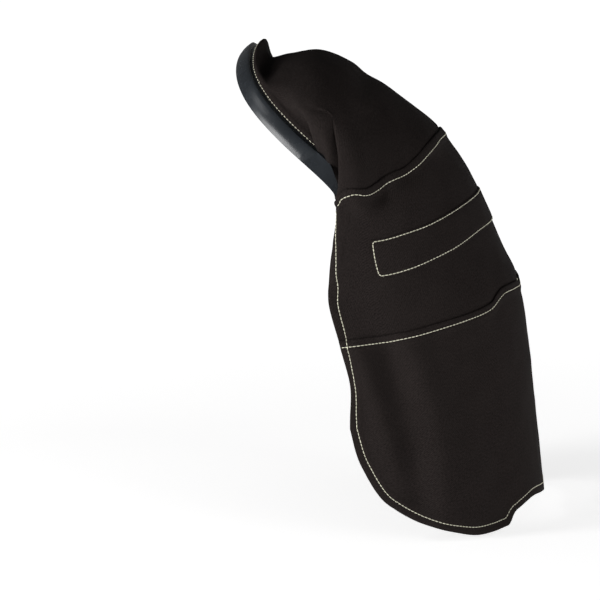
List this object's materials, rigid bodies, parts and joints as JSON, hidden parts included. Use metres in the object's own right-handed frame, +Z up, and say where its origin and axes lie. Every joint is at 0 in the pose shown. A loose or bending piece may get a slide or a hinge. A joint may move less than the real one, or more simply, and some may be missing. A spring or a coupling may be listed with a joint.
{
  "type": "welding head cover",
  "caption": "Cloth hood and cape that hangs from the rear rim of a welding helmet by a rubber edge trim and covers the wearer's crown, neck and shoulders.",
  "frame": {"origin": "crown of the helmet rim, in the middle of the slot of the edge trim", "axes": "+X to the wearer's left, +Y to the wearer's back, +Z up"},
  "size_m": [0.2426, 0.2209, 0.3395],
  "materials": {
    "trim": "smooth dark blue-grey rubber",
    "cloth": "matte black twill",
    "strip": "matte black twill"
  },
  "bodies": {
    "root": {"edge_trim": "trim", "crown_panel": "cloth", "neck_panel": "cloth", "nape_strip": "strip", "cape_panel": "cloth"}
  },
  "joints": []
}
